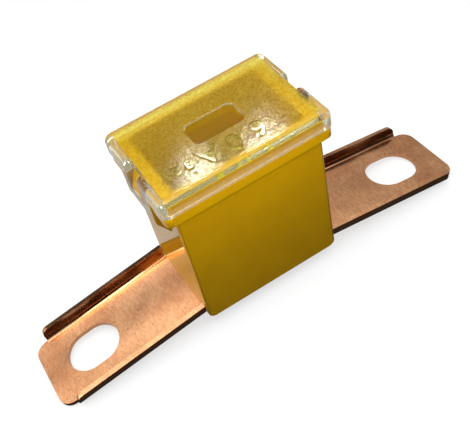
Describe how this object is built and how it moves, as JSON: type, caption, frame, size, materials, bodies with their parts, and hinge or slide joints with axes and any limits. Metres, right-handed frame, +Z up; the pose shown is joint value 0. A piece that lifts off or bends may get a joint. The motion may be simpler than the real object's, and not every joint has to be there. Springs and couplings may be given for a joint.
{
  "type": "bolt-down cartridge fuse",
  "caption": "Bolt-down cartridge fuse for vehicles: a deep yellow housing under a clear clipped-on cover, with slotted copper legs that droop and have upturned flanges.",
  "frame": {"origin": "under the middle of the housing, level with the lowest edge of the leg tips", "axes": "+X along the legs, +Y across them, +Z up through the cover"},
  "size_m": [0.0582, 0.0142, 0.0241],
  "materials": {
    "yellow_plastic": "glossy moulded plastic, saturated yellow",
    "clear_plastic": "clear, with a finely frosted top and a polished window",
    "copper_alloy": "bare copper alloy sheet, lightly tarnished",
    "tin": "dull tin"
  },
  "bodies": {
    "root": {"housing": "yellow_plastic", "cover": "clear_plastic", "fuse_element": "copper_alloy", "tin_pellet": "tin"}
  },
  "joints": []
}
